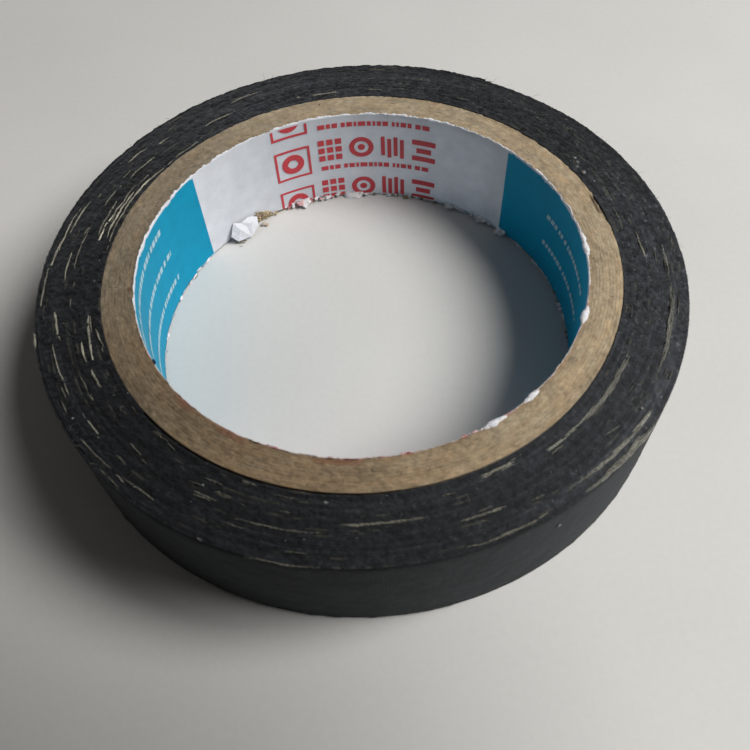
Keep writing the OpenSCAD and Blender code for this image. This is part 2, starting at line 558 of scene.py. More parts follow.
def cloth_piece(name, start, end, step, face_rows=0):
    """A closed stretch of the cloth. face_rows gives the visible outer face its own relief."""
    count = max(int(round((end - start) / step)) + 1, 3)
    turn = np.linspace(start, end, count)[:, None]
    run = arc_length(turn)
    out, z, top, bottom, face = cloth_section(face_rows).T
    azimuth, radius = azimuth_of(turn), lap_radius(turn)
    calm, outer = front_of(turn), smooth(48.5, 51.0, radius)
    on_top = top > 0.9

    # relief of the cut edges
    share = 0.85 * np.clip(out / LAP, 0, 1.1)       # of the next lap's height
    height = (lap_height(turn) * (1 - share) + lap_height(turn + 360) * share
              + shoulder(radius + out) + 0.08 * (1 - smooth(0, 900, turn)))
    lumps = edge_lumps(run)
    gap = np.clip(0.55 + 0.9 * noise(run / 7.0, seed=33), 0.05, 1.2)    # depth between laps
    gap = gap * (1 - 0.9 * between(azimuth, 115, 150, 325, 350)) * (1 - 0.85 * outer)
    flat_place = strip(turn, out, z)

    def grains(size, seed):
        return noise(flat_place[..., 0] / size, flat_place[..., 1] / size, seed=seed)

    coarse, medium, tiny = grains(1.15, 17), grains(0.55, 18), grains(0.27, 19)
    relief = (0.10 * coarse + 0.08 * medium + 0.035 * tiny) * (1 - 0.25 * calm)
    level = z + top * (height + lumps * (1 - 0.4 * calm) * (1 - 0.6 * outer) + relief)
    level = level - 0.045 * (on_top & (out < 0.085)) * gap
    low = 0.10 + 0.5 * lap_height(turn + 41.0) + 0.6 * edge_lumps(run + 400.0, 25)
    level = level + bottom * np.clip(low, 0.0, 0.4)
    spread = out + ((top > 0) & (out > 0.15) & (out < 0.4)) * 0.04 * noise(run / 0.7, z, seed=12)
    spread = spread - 0.03 * (on_top & (out < 0.15)) * (1 + noise(run / 0.6, seed=20))
    spread = spread - 0.05 * (on_top & (out < 0.12)) * (turn < 362)
    if face_rows:
        spread = spread + face * face_relief(run, z)
        spread = np.maximum(spread, np.where(out > 0.15, 0.16, 0.05))

    # patches of the upper face, by azimuth and radius
    right_back = between(azimuth, 5, 35, 95, 125) * (1 - outer)
    right = between(azimuth, 12, 32, 62, 85) * (1 - outer)
    outer_back = (between((azimuth + 60) % 360 - 60, -25, 50, 95, 225)
                  * smooth(49.0, 51.5, radius))
    # painted shade: the left of the upper face, away from the key light, is painted darker
    left = between(azimuth, 105, 150, 205, 310)
    # painted sheen: the outer laps at the front right are painted lighter
    front_right_sheen = between(azimuth, 288, 305, 340, 352) * smooth(50.5, 52, radius)

    # colour: painted light and shade, raised grains lighter and hollows darker, and slow changes from
    # lap to lap
    lap_tone = 1 + 0.16 * noise(run / 60.0, seed=31) + 0.12 * noise(run / 13.0, seed=32)
    grain_and_painted_light = 1 + (0.46 * medium + 0.26 * coarse + 0.34 * tiny + 1.8 * lumps) * (1 - 0.45 * calm)
    grain_and_painted_light = np.clip(grain_and_painted_light, 0.25, 2.2)
    grain_and_painted_light = ((1 + (grain_and_painted_light - 1) * (1 + 0.35 * right_back)) * (1 - 0.30 * right_back)
             * (1 - 0.30 * right) * (1 - 0.58 * outer_back)
             * (1 - (0.58 - 0.19 * outer) * left) * (1 + 0.45 * front_right_sheen))
    # painted shade: the edges of each lap's top are darker where the gap between laps is deeper
    wall = 1 - 0.20 * (on_top & ((out < 0.085) | (out > 0.45))) * gap
    glint = smooth(0.62, 0.86, grains(0.42, 22)) * on_top
    colors = EDGE_COLOR * (lap_tone * grain_and_painted_light * wall)[..., None]
    colors = colors * (1 + 1.9 * glint * (1 - 0.6 * calm))[..., None]
    # bare yarn where the rubber is rubbed off
    bare = (smooth(0.50, 0.78, noise(run / 6.5, seed=34))
            * smooth(-0.1, 0.5, noise(run / 1.1, seed=35)))
    colors = toward(colors, BARE_COLOR * 0.40, 0.45 * bare * (on_top & (out < 0.35)))
    if face_rows:
        colors = np.where((face > 0.9)[:, None], face_colors(run, z, azimuth), colors)

    column = np.arange(len(out))
    woven = (column >= 6) & (column < 5 + face_rows)
    flat = (column == 0) | ((column == 6) & (not face_rows))
    return sweep_object(name, strip(turn, spread, level), run, around_section(out, z),
                        (EDGE_CLOTH, FACE_CLOTH), colors, woven, flat)


quarter = LAST_LAPS / 4
for i in range(4):
    ob = cloth_piece(f"wound_cloth_{i + 1}", quarter * i, quarter * (i + 1), CLOTH_STEP)
    fit(ob, "laps_cloth")
fit(cloth_piece("outer_lap", LAST_LAPS, LOOSE, OUTER_STEP, FACE_ROWS),
    "outer_lap_cloth")
for name in ("laps_adhesive", "outer_lap_adhesive"):
    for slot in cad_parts[name].material_slots:
        slot.material = CAD_ADHESIVE


def wound_film(name, start, end):
    """The adhesive between wound laps, kept below the cut edges where these dip outward."""
    turn = np.linspace(start, end, int(round((end - start) / 1.5)) + 1)
    run = arc_length(turn)
    top = TOP - 0.42 + shoulder(lap_radius(turn)) + 0.03 * noise(run / 3.0, seed=43)
    bottom = np.full(len(turn), 0.17)
    out = np.array([FILM_OUT, FILM_OUT, FILM_IN, FILM_IN])
    z = np.stack([bottom, top, top, bottom], 1)
    return sweep_object(name, strip(turn[:, None], out, z), run, around_section(out, z[0]),
                        (ADHESIVE,), flat=True)


fit(wound_film("wound_film", 0, LAST_LAPS), "laps_adhesive")
fit(wound_film("outer_lap_film", LAST_LAPS, LOOSE), "outer_lap_adhesive")


# ---------------------------------------------------------------- the loose end
def end_film(name, start, end):
    """Adhesive on the loose end, with a lumpy inner face and ragged edges."""
    count = max(int(round((end - start) / 0.36)) + 1, 3)
    turn = np.linspace(start, end, count)[:, None]
    run = arc_length(turn)
    levels = np.linspace(0.16, TOP - 0.30 + shoulder(RIM), 26)
    out = np.repeat([FILM_OUT, FILM_IN], 26)
    z = np.concatenate([levels, levels[::-1]])
    relief = 0.035 * fbm(run / 1.6, z / 1.1, seed=41) * (out < 0.05)
    ragged = (0.10 * noise(run / 1.3, (z > TOP / 2) * 5.0, seed=42)
              * ((z < 0.3) | (z > TOP - 0.3)))
    points = strip(turn, out + np.clip(relief, -0.01, 0.06), z + np.clip(ragged, -0.08, 0.08))
    return sweep_object(name, points, run, around_section(out, z), (ADHESIVE,))


cuts = [LOOSE] + [LOOSE + SEGMENT * (i + 0.5) for i in range(6)] + [STRIP_END]
for i in range(7):
    start, end = cuts[i], cuts[i + 1]
    cloth = cloth_piece(f"end_strip_{i + 1}", start, end, END_STEP, FACE_ROWS)
    film = end_film(f"end_film_{i + 1}", start, end - (0.3 if i == 6 else 0))
    for ob, kind, slot in ((cloth, "cloth", "cotton_cloth"), (film, "adhesive", "rubber_adhesive")):
        if i == 6:
            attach(ob, "end_6")
        else:
            near, far = (tuple(strip(cut, CLOTH_OUT, TOP / 2) * MM) for cut in (start, end))
            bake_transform(ob)
        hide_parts(f"end_{kind}_{min(i + 1, 6)}")

# ---------------------------------------------------------------- the kraft core
KRAFT_COLOR = np.array([0.308, 0.252, 0.172])
PLY_GAP = 0.006                 # between plies
PLY_ROWS = 860
WALL_POINTS = 12                # section points up each side
FIBRE_R = 41.0                  # radius at which fibre patterns are laid out
GRAIN = np.array([(0.05, 0.06), (0.17, 0), (0.27, 0), (0.37, 0), (0.48, 0)])


def ply_section(thick):
    """Columns: out, z, and the weights of the top and bottom relief."""
    wall = np.linspace(0.12, TOP, WALL_POINTS)
    inner, outer = ([(out, z, 1.0 * (z > TOP - 0.3), 0.5 * (z < 0.3)) for z in levels]
                    for out, levels in ((0, wall), (thick, wall[::-1])))
    top = [(out, TOP, 1, 0) for out in (0.06, 0.17, 0.27, 0.37, 0.48)]
    bottom = [(0.44, 0.06, 0, 1), (0.30, 0.02, 0, 1), (0.16, 0.02, 0, 1), (0.05, 0.06, 0, 1)]
    return np.array(inner + top + outer + bottom)


def ply_caps(size):
    """Triangles that close both ends of a ply."""
    last = 2 * WALL_POINTS + 4
    cap = []
    for i in range(WALL_POINTS - 1):
        cap += [(i, i + 1, last - i - 1), (i, last - i - 1, last - i)]
    cap += [(WALL_POINTS - 1, k, k + 1) for k in range(WALL_POINTS, WALL_POINTS + 5)]
    cap += [(0, k, k + 1) for k in range(last, last + 4)]
    cap = np.array(cap)
    return np.concatenate([cap, cap[:, ::-1] + (PLY_ROWS - 1) * size])


def ply_piece(n):
    inner = PLY_R + (n - 1) * PLY_PITCH + PLY_GAP
    thick = PLY_PITCH - PLY_GAP
    tilt = math.tan(math.radians(38 if n % 2 == 0 else -38))    # of the spiral seam
    seam_gap = math.radians(0.07)
    sweep_angle = np.linspace(seam_gap, 2 * math.pi - seam_gap, PLY_ROWS)[:, None]
    ply_shift = n * 13.7
    out, z, top, bottom = ply_section(thick).T
    # where each point lies as seen from above, so fibres run on from one ply to the next
    angle = math.radians(93 + n * 137) - (z - TOP / 2) * tilt / (inner + 0.25) + sweep_angle
    azimuth = np.degrees(angle) % 360
    radius = inner + out
    circle = FIBRE_R * 2 * math.pi
    arc = angle * FIBRE_R % circle
    weight = smooth(0.0, 6.0, arc)

    def around(size, across, seed, slope=0.0, pattern=noise):
        """Noise that joins up after a full turn."""
        here, beyond = (pattern(x / size + radius * slope, across, seed=seed)
                        for x in (arc, arc + circle))
        return here * weight + beyond * (1 - weight)

    strands = around(1.0, radius / 0.85, 51, slope=0.4, pattern=fbm)
    lumps = around(0.75, radius / 0.6, 52)
    grit = around(0.36, radius / 0.30, 59)
    broad = around(9.0, radius / 2.4, 53)
    relief = 0.055 * strands + 0.055 * lumps + 0.04 * grit + 0.07 * broad
    level = z + top * relief + bottom * np.clip(relief + 0.05, 0, 0.25)
    spread = out + ((top > 0.9) & (out < thick) & (out > 0)) * 0.03 * grit
    joint = ((out <= 0) | (out >= thick)) & (z > TOP - 0.3)
    openness = np.clip(0.05 + 1.1 * around(5.0, ply_shift, 63), 0.0, 1.0)
    level = level - 0.035 * joint * openness
    # the outermost ply has lifted at its seam and leaves a short split
    lift = ((n == 10) * between(azimuth, 3.0, 8.5, 13.5, 15.4)
            * smooth(TOP - 4, TOP - 0.5, level))
    spread = spread + lift * np.clip(0.16 - spread, 0, 0.16)
    level = level - 0.25 * lift * (top > 0.5)
    # the innermost edge is worn and rounded
    level = level - (n == 1) * 0.07 * (top > 0) * np.clip(1 - out / 0.3, 0, 1)
    # the split is a ragged gash with a lifted lip, painted dark as shade inside it
    gash_line = 42.80 + 0.05 * (azimuth - 12) - 0.10 * grit
    gash = ((n >= 9) * between(azimuth, 8.6, 9.6, 14.8, 16.0)
            * np.exp(-((radius - gash_line) / 0.20) ** 2))
    level = level - 0.25 * gash * (top > 0.5)

    flecks = around(0.8, radius / 0.6, 60, slope=-0.6)
    tone = (1 + 0.02 * math.sin(n * 2.4) + 0.12 * broad + 0.20 * strands + 0.14 * flecks
            + 0.12 * grit)
    colors = KRAFT_COLOR * (tone * (1 - 0.16 * joint * openness))[..., None]

    def darken(weights, amounts):
        return colors * (1 - weights[..., None] * np.array(amounts))

    colors = darken(between(azimuth, 180, 205, 268, 300), (0.06, 0.12, 0.17))
    # painted shade: the left of the core, away from the key light, is painted darker
    colors = darken(between(azimuth, 105, 155, 212, 290), 0.31)
    warm = np.clip(0.4 + 0.7 * around(4.0, radius / 1.2, 57), 0, 1)
    colors = darken(warm, (-0.05, 0.015, 0.08))
    rim = (np.clip((2.3 - n - out / PLY_PITCH) / 1.9, 0, 1)
           * (0.35 + 0.65 * between(azimuth, 150, 200, 335, 356)))
    colors = darken(rim, (0.20, 0.34, 0.42))
    colors = darken(smooth(0.50, 0.90, around(1.5, radius / 0.9, 61)), 0.20)
    colors = darken(smooth(0.50, 0.85, around(2.0, radius / 1.0, 62)), -0.18)
    # painted shade inside the split
    colors = darken(gash, (0.72, 0.78, 0.82))
    ink = (smooth(0.25, 0.65, around(5.0, 3.0, 58)) * (n <= 2)
           * between(azimuth, 185, 205, 262, 290))
    colors = toward(colors, (0.22, 0.085, 0.05), 0.5 * ink)
    spot = (n == 2) * np.exp(-(((azimuth - 184.4) * 0.68) ** 2 + ((out - 0.25) * 2.0) ** 2) / 0.20)
    colors = toward(colors, (0.16, 0.03, 0.02), 0.8 * spot)

    points = np.stack([(inner + spread) * np.cos(angle), (inner + spread) * np.sin(angle), level], -1)
    column = np.arange(len(out))
    walls = ((column < WALL_POINTS - 1)
             | ((column >= WALL_POINTS + 5) & (column < 2 * WALL_POINTS + 4)))
    ob = sweep_object(f"kraft_ply_{n:02d}", points, (inner + 0.25) * sweep_angle,
                      around_section(out, z) + ply_shift, (KRAFT,), colors,
                      flat=walls & (n > 1), caps=ply_caps(len(out)))
    fit(ob, f"core_ply_{n:02d}")


for n in range(1, PLIES + 1):
    ply_piece(n)

# ---------------------------------------------------------------- the printed liner
LINER_CELL = 0.25               # degrees
LINER_SEAM = -84.0
# out from the bore, z: outer side, torn upper edge, then the printed side downward
LINER_SECTION = np.array(
    [(0.115, 0.2), (0.115, 20.8), (0.16, 20.98), (0.23, 21.02), (0.20, 21.08), (0.07, 21.07),
     (0.01, 20.95)]
    + [(0.0, z) for z in (20.84, 20.62, 20.4, 20.1, 19.0, 16.5, 13.5, 10.5, 7.5, 4.5, 2.2, 1.1,
                          0.5, 0.12)])


def liner():
    cells = int(360 / LINER_CELL)
    azimuth = LINER_SEAM + np.arange(cells + 1) * LINER_CELL
    azimuth[0] += 0.12
    azimuth[-1] -= 0.12
    middle = ((azimuth[:-1] + azimuth[1:]) / 2)[:, None]
    azimuth = azimuth[:, None]
    run = np.radians(azimuth) * BORE
    around = azimuth % 360
    out, z = LINER_SECTION.T
    top = (z > 20.95) * 1.0
    ragged = (0.20 * noise(run / 0.9, out * 4, seed=61) + 0.14 * noise(run / 0.35, out * 9, seed=62)
              + 0.12 * noise(run / 6.0, seed=63))
    level = z + top * np.clip(ragged, -0.22, 0.45)
    spread = out + top * (0.10 * noise(run / 1.3, z, seed=64)
                          + 0.05 * noise(run / 0.4, z, seed=65)) * (out > 0.05)
    bottom = np.clip(0.10 + 0.35 * fbm(run / 1.6, seed=66) + 0.25 * noise(run / 7.0, seed=67), 0, 0.9)
    tear = (0.9 * between(azimuth, 92, 97, 122, 127) * (0.6 + 0.5 * noise(run / 2.0, seed=68)))
    level = np.where(z < 0.6, z + bottom + np.clip(tear, 0, 1.5) * (z < 0.4), level)
    level = np.maximum(level, 0.02)
    buckle = 0.05 * fbm(run / 9.0, z / 7.0, seed=69) * (out < 0.01) * between(z, 0, 3, 18, 20.6)
    radius = BORE + spread + np.clip(buckle, -0.06, 0.04)
    angle = np.radians(azimuth)
    points = np.stack([radius * np.cos(angle), radius * np.sin(angle), level], -1)

    # two cyan panels on the bore side, with paper showing along the torn edge
    cyan = (middle - 40.0) % 180.0 >= 102.0
    torn = 20.78 + 0.22 * noise(np.radians(middle) * BORE / 1.1, seed=70)
    inked = cyan & (np.arange(len(z)) >= 6) & (z > 0.2) & ~((z > 20.0) & (z > torn))

    tone = 1 + 0.04 * noise(run / 2.0, z / 2.0, seed=71)
    # painted light: the paper at azimuths 40 to 110, which faces away from the key, is painted up to a
    # fifth lighter below the top
    tone = tone * (1 + 0.20 * between(around, 40, 52, 70, 110) * smooth(-1, 1, 20 - z))
    colors = np.ones(3) * tone[..., None]
    ink = (top > 0) * smooth(0.1, 0.6, noise(run / 2.4, seed=72))
    front = (around > 196) & (around < 346)
    colors = toward(colors, (0.62, 0.27, 0.24), 0.85 * ink * front)
    colors = toward(colors, (0.50, 0.36, 0.25), 0.75 * (1 - ink) * front * top)
    ob = sweep_object("bore_liner", points, run, around_section(out, z), (PAPER, CYAN_INK),
                      colors, inked)
    fit(ob, "printed_liner")


liner()

# ---------------------------------------------------------------- the print
INK_FACE, INK_BACK = 0.07, 0.04         # in from the bore
INK_TOP, INK_BOTTOM = 0.45, 20.4        # below the roll's upper face
PRINT_PITCH = 10.37                     # the red print repeats downward


def on_wall(azimuth, across, below, inward):
    """A point of the bore wall: across is clockwise from the azimuth, below is from the top."""
    across, below, inward = np.broadcast_arrays(across, below, inward)
    angle = math.radians(azimuth) - across / BORE
    radius = BORE - inward
    return np.stack([radius * np.cos(angle), radius * np.sin(angle), TOP - below], -1)


def print_band(heap, azimuth, x, upper, lower, tone=1.0):
    """A closed flake of ink along x, between two depths below the top at each x."""
    upper, lower = (np.clip(edge + 0 * x, INK_TOP, INK_BOTTOM) for edge in (upper, lower))
    if np.all(lower - upper < 0.08):
        return
    points = np.stack([on_wall(azimuth, x, upper, INK_FACE), on_wall(azimuth, x, lower, INK_FACE),
                       on_wall(azimuth, x, lower, INK_BACK), on_wall(azimuth, x, upper, INK_BACK)],
                      1)
    wide = (lower - upper).mean()
    heap.add(points, (tone, tone, tone), x + azimuth,
             np.array([0, wide, wide + 0.05, 2 * wide, 2 * wide + 0.05]))


def bar(heap, azimuth, left, right, upper, lower, tone=1.0, slant=0.0):
    x = np.linspace(left, right, max(int((right - left) / 0.5) + 2, 3))
    if not slant:
        print_band(heap, azimuth, x, upper, lower, tone)
        return
    points = []
    for edge, inward in ((upper, INK_FACE), (lower, INK_FACE), (lower, INK_BACK), (upper, INK_BACK)):
        below = min(max(edge, INK_TOP), INK_BOTTOM)
        points.append(on_wall(azimuth, x + slant * (lower - below), below, inward))
    heap.add(np.stack(points, 1), (tone, tone, tone))


def disc(heap, azimuth, center, middle, radius, hole=0.0):
    x = center + radius * np.sin(np.linspace(-math.pi / 2, math.pi / 2, 25))
    half = np.sqrt(np.clip(radius * radius - (x - center) ** 2, 1e-4, None))
    if hole <= 0:
        print_band(heap, azimuth, x, middle - half, middle + half)
    else:
        inner = np.sqrt(np.clip(hole * hole - (x - center) ** 2, 0, None))
        print_band(heap, azimuth, x, middle - half, middle - inner)
        print_band(heap, azimuth, x, middle + inner, middle + half)


def dash_row(heap, azimuth, span, overrun, dashes, next_gap, seed, **band):
    """Dashes of random length, with gaps drawn by next_gap."""
    draw = np.random.default_rng(seed)
    x = 0.0
    while x < span:
        length = float(draw.choice(dashes))
        bar(heap, azimuth, x, min(x + length, span + overrun), **band)
        x += length + next_gap(draw)


def outlined_square(azimuth, drop):
    """A square outline around a ring."""
    size, line = 7.5, 0.5
    upper, lower = 5.9 + drop, 13.3 + drop
    bar(red, azimuth, 0, size, upper, upper + line)
    bar(red, azimuth, 0, size, lower - line, lower)
    bar(red, azimuth, 0, line, upper + line, lower - line)
    bar(red, azimuth, size - line, size, upper + line, lower - line)
    disc(red, azimuth, size / 2, (upper + lower) / 2, 2.35, hole=1.05)


def pattern_blocks(azimuth, drop):
    """Four plain blocks: dots, a ring with a centre, uprights and three bars."""
    upper, lower = 5.4 + drop, 10.6 + drop
    places = [azimuth - 9.67 * i for i in range(4)]
    for i in range(3):
        for j in range(3):
            start = upper + 1.95 * j
            bar(red, places[0], 1.75 * i, 1.75 * i + 1.3, start, start + 1.35)
    disc(red, places[1], 2.4, (upper + lower) / 2, 2.5, hole=1.5)
    disc(red, places[1], 2.4, (upper + lower) / 2, 0.75)
    for i in range(4):
        bar(red, places[2], 1.3 * i, 1.3 * i + 0.8, upper + 0.5 * (i % 2), lower - 0.5 * ((i + 1) % 2))
    for i, (left, right) in enumerate(((0, 4.9), (0.9, 4.0), (0, 4.9))):
        bar(red, places[3], left, right, upper + 2.0 * i, upper + 2.0 * i + 1.2)


red = Heap()
light = Heap()
for half_turn in (0.0, 180.0):
    for row in (-1, 0, 1):
        drop = row * PRINT_PITCH
        outlined_square(114.4 + half_turn, drop)
        pattern_blocks(100.4 + half_turn, drop)
        dash_row(red, 100.0 + half_turn, span=22.6, overrun=0.6, dashes=[0.55, 0.8, 1.1, 1.45],
                 next_gap=lambda draw: float(draw.choice([0.32, 0.32, 0.75])), seed=71,
                 upper=12.05 + drop, lower=13.1 + drop, tone=1.05)
# rows of plain marks on the two cyan panels: depths below the top, start and span in degrees
for rows, start, span in (((3.1, 9.5, 16.0), 200.0, 40.5), ((7.0, 13.6), 21.5, 30.0)):
    for i, middle in enumerate(rows):
        dash_row(light, start, span=math.radians(span) * BORE, overrun=0.2,
                 dashes=[0.55, 0.8, 1.1],
                 next_gap=lambda draw: 0.75 if draw.random() < 0.2 else 0.34, seed=5 + i,
                 upper=middle - 0.62, lower=middle + 0.48, slant=0.25)
red.object("liner_print_red", RED_INK, flat=True)
light.object("liner_print_light", LIGHT_INK, flat=True)

# ---------------------------------------------------------------- torn bits of paper
WHITE = (1.0, 1.0, 1.0)
BROWN = np.array((0.36, 0.285, 0.19))
PINK = (0.84, 0.55, 0.55)
DEEP_RED = (0.72, 0.26, 0.26)


def frame_at(azimuth, radius, z):
    """Origin and the outward, counterclockwise and up directions at a place on the roll."""
    angle = math.radians(azimuth)
    outward_way = np.array([math.cos(angle), math.sin(angle), 0.0])
    along = np.array([-math.sin(angle), math.cos(angle), 0.0])
    return outward_way * radius + np.array([0, 0, z]), outward_way, along, np.array([0, 0, 1.0])


def scrap(heap, azimuth, radius, z, length, width, lean, swing=0.0, curl=0.0, seed=0,
          color=WHITE, thick=0.07, tear=0.3):
    """A small torn piece of paper. It goes up from its place when lean is 0 and towards the axis
    at 90 degrees, and curls by curl degrees over its length. swing turns it about the vertical."""
    bend = np.random.default_rng(9000 + seed).uniform(-0.25, 0.25) * width
    origin, out, along, up = frame_at(azimuth, radius, z)
    cosine, sine = math.cos(math.radians(swing)), math.sin(math.radians(swing))
    inward = -out * cosine + along * sine
    sideways = along * cosine + out * sine
    part = np.linspace(0, 1, 9)[:, None]
    across = np.linspace(-1, 1, 5)
    angle = math.radians(lean) + math.radians(curl) * part
    middle = (angle[1:] + angle[:-1]) / 2
    reach, climb = (np.concatenate([[[0]], np.cumsum(wave * length / 8, axis=0)])
                    for wave in (np.sin(middle), np.cos(middle)))
    left = width / 2 * (1 - 0.55 * part ** 2) * (1 + tear * noise(part * 4.3, seed * 1.7, seed=81))
    right = (width / 2 * (1 - 0.35 * part ** 3)
             * (1 + tear * noise(part * 4.3, seed * 2.9, 5, seed=82)))
    offset = across * np.where(across < 0, left, right)
    sag = (bend * (across ** 2 - 0.4) * part
           + 0.05 * noise(across * 2.2, part * 3, seed, seed=83))
    tip = 0.12 * length * noise(across * 2.6, seed * 0.7, seed=84) * part ** 2
    half = thick * (1 - 0.55 * part) / 2
    forward = (inward * np.sin(angle) + up * np.cos(angle))[:, None]
    normal = (inward * np.cos(angle) - up * np.sin(angle))[:, None]
    sheet = ((origin + inward * reach + up * climb)[:, None] + sideways * offset[..., None]
             + forward * tip[..., None])
    points = np.concatenate([sheet + normal * (sag + half)[..., None],
                             (sheet + normal * (sag - half)[..., None])[:, ::-1]], 1)
    points[..., 2] = np.maximum(points[..., 2], 0.03)
    heap.add(points, color)


def pulp(azimuth, radius, z, along, across, high, seed, color=(0.96, 0.96, 1.0)):
    """A soft lump of torn paper fibre."""
    origin, out, side, up = frame_at(azimuth, radius, z)
    turn, tilt = np.arange(12) / 12 * 2 * math.pi, np.linspace(0.06, math.pi - 0.06, 11)[:, None]
    x, y, z = np.cos(tilt) + 0 * turn, np.sin(tilt) * np.cos(turn), np.sin(tilt) * np.sin(turn)
    swell = (1 + 0.26 * noise(x * 1.3 + seed, y * 1.3, z * 1.3, 85)
             + 0.09 * noise(x * 3.7, y * 3.7 + seed, z * 3.7, 86))
    points = (origin + (x * swell)[..., None] * side * along
              + (y * swell)[..., None] * out * across + (z * swell)[..., None] * up * high)
    shade = 0.86 + 0.14 * np.clip(swell, 0.7, 1.2)
    paper.add(points, np.asarray(color) * shade[..., None])


def subdivide(points, triangles):
    """Splits each triangle into four."""
    points, halves, finer = list(points), {}, []

    def half(i, j):
        key = (min(i, j), max(i, j))
        if key not in halves:
            halves[key] = len(points)
            points.append((points[i] + points[j]) / 2)
        return halves[key]

    for i, j, k in triangles:
        ij, jk, ki = half(i, j), half(j, k), half(k, i)
        finer += [(i, ij, ki), (ij, j, jk), (ki, jk, k), (ij, jk, ki)]
    return np.array(points), finer


def fold(azimuth, points, triangles, color, seed, thick=0.10):
    """A folded sheet: points are clockwise along the wall, in from it, and up."""
    points = np.array(points, float)
    for _ in range(2):      # finer triangles, so that the sheet is not perfectly flat
        points, triangles = subdivide(points, triangles)
    count, tris = len(points), np.array(triangles)
    x, inward, z = (points / 0.7).T
    points = points + 0.045 * np.stack([noise(x + 9 * i, inward, z + seed, 89) for i in range(3)], -1)
    normals = np.zeros((count, 3))
    face_normals = np.cross(points[tris[:, 1]] - points[tris[:, 0]],
                            points[tris[:, 2]] - points[tris[:, 0]])
    for i in range(3):
        np.add.at(normals, tris[:, i], face_normals)
    normals /= np.linalg.norm(normals, axis=1)[:, None] + 1e-9
    verts = np.concatenate([points + normals * thick / 2, points - normals * thick / 2])
    verts[:, 2] = np.maximum(verts[:, 2], 0.03)
    verts = on_wall(azimuth, verts[:, 0], TOP - verts[:, 2], verts[:, 1])
    edges = dict.fromkeys(edge for i, j, k in triangles for edge in ((i, j), (j, k), (k, i)))
    sides = []
    for i, j in edges:
        if (j, i) not in edges:
            sides += [(j, i, i + count), (j, i + count, j + count)]
    faces = np.concatenate([tris, tris[:, ::-1] + count, np.array(sides)])
    uvs = np.concatenate([points[:, [0, 2]]] * 2)
    folded.add_mesh(outward((verts, np.zeros((0, 4), np.int64), faces, np.zeros((0, 4, 2)),
                             uvs[faces])), color)


paper = Heap()
folded = Heap()
board = Heap()
draw = np.random.default_rng(404)
uniform = draw.uniform

# fuzz of torn fibres on the liner's upper edge:
# azimuth from and to, count, size, first seed, colour, range of lean
OUTWARD, UPRIGHT = (-85, -25), (-35, 40)
for start, end, count, size, seed, color, leans in (
        (40.5, 84, 74, 1.1, 100, WHITE, OUTWARD), (84, 142, 46, 0.8, 300, WHITE, OUTWARD),
        (-3, 30, 54, 1.15, 500, WHITE, OUTWARD), (142, 210, 30, 0.7, 700, WHITE, OUTWARD),
        (30, 41, 10, 0.9, 900, WHITE, OUTWARD), (-24, -3, 22, 0.9, 1000, WHITE, UPRIGHT),
        (215, 300, 46, 0.7, 1100, (0.78, 0.62, 0.56), OUTWARD)):
    for i in range(count):
        azimuth = uniform(start, end)
        length = uniform(0.08, 0.30) * size
        lean = uniform(*leans)
        shade = np.array(color) * uniform(0.62, 1.0)
        scrap(paper, azimuth, BORE + 0.12 + uniform(-0.05, 0.12), TOP - 0.10, length,
              uniform(0.15, 0.65) * size, lean, uniform(-50, 50), uniform(-40, 20), seed + i,
              shade, thick=0.05, tear=0.4)

# larger lumps on the upper edge: azimuth, size
LUMPS = ((-23.6, 1.7), (-24.6, 1.3), (-50.8, 1.5), (-52.3, 1.1), (-62.5, 1.6), (-60.7, 1.2),
         (-64.0, 1.0), (28.0, 1.0), (1.5, 1.25), (-1.6, 1.5), (-2.6, 1.2), (74.0, 0.9), (66.0, 1.0))
for i, (azimuth, size) in enumerate(LUMPS):
    pulp(azimuth, BORE + 0.20, TOP - 0.08, 0.78 * size, 0.34 * size, 0.30 * size, 1300 + i)
    pulp(azimuth + uniform(0.9, 1.5), BORE + 0.24, TOP - 0.12, 0.55 * size, 0.26 * size,
         0.22 * size, 1330 + i)
    for j in range(2):
        scrap(paper, azimuth + uniform(-1.6, 1.6), BORE + 0.20, TOP - 0.10, 0.30 * size,
              0.5 * size, uniform(-30, 80), uniform(-60, 60), uniform(10, 80), 1300 + 10 * i + j,
              np.array(WHITE) * uniform(0.85, 1.0), thick=0.10)
for i, (azimuth, color) in enumerate((
        (-67.6, PINK), (-69.5, DEEP_RED), (-82.1, DEEP_RED), (-84.0, PINK), (-88.1, PINK),
        (-100.0, PINK), (-111.4, DEEP_RED), (-113.5, PINK))):
    for j in range(2):
        scrap(paper, azimuth + uniform(-0.9, 0.9), BORE + 0.12, TOP - 0.14, 0.36, 0.9,
              uniform(-30, 40), curl=50, seed=1500 + 10 * i + j, color=color, thick=0.05)
for i, azimuth in enumerate((-150.6, -151.4)):
    scrap(paper, azimuth, BORE + 0.12, TOP - 0.16, 0.6, 0.7, lean=20, curl=50, seed=1620 + i,
          color=(0.05, 0.12, 0.25), thick=0.06)

# the lower edge: a big folded flap and a smaller fold beneath it
FLAP_AT = 129.4
FLAP = ((-2.9, 1.0, 1.9), (-1.5, 0.12, 3.7), (-0.3, 0.55, 3.1), (1.4, 0.30, 3.2), (2.8, 0.75, 2.5),
        (2.3, 1.8, 1.2), (0.2, 2.6, 0.45), (-2.3, 2.0, 0.8), (0.35, 1.25, 1.9),
        (-1.15, 1.55, 2.75), (1.35, 1.40, 2.35))
FLAP_FACES = ((0, 1, 9), (1, 2, 9), (2, 8, 9), (8, 6, 9), (6, 7, 9), (7, 0, 9),
              (2, 3, 10), (3, 4, 10), (4, 5, 10), (5, 6, 10), (6, 8, 10), (8, 2, 10))
UNDER_FLAP = ((-2.6, 1.7, 0.9), (0.0, 2.5, 0.5), (1.9, 1.7, 0.9), (1.2, 0.2, 0.35),
              (-1.0, 0.15, 0.30), (0.0, 1.2, 0.25))
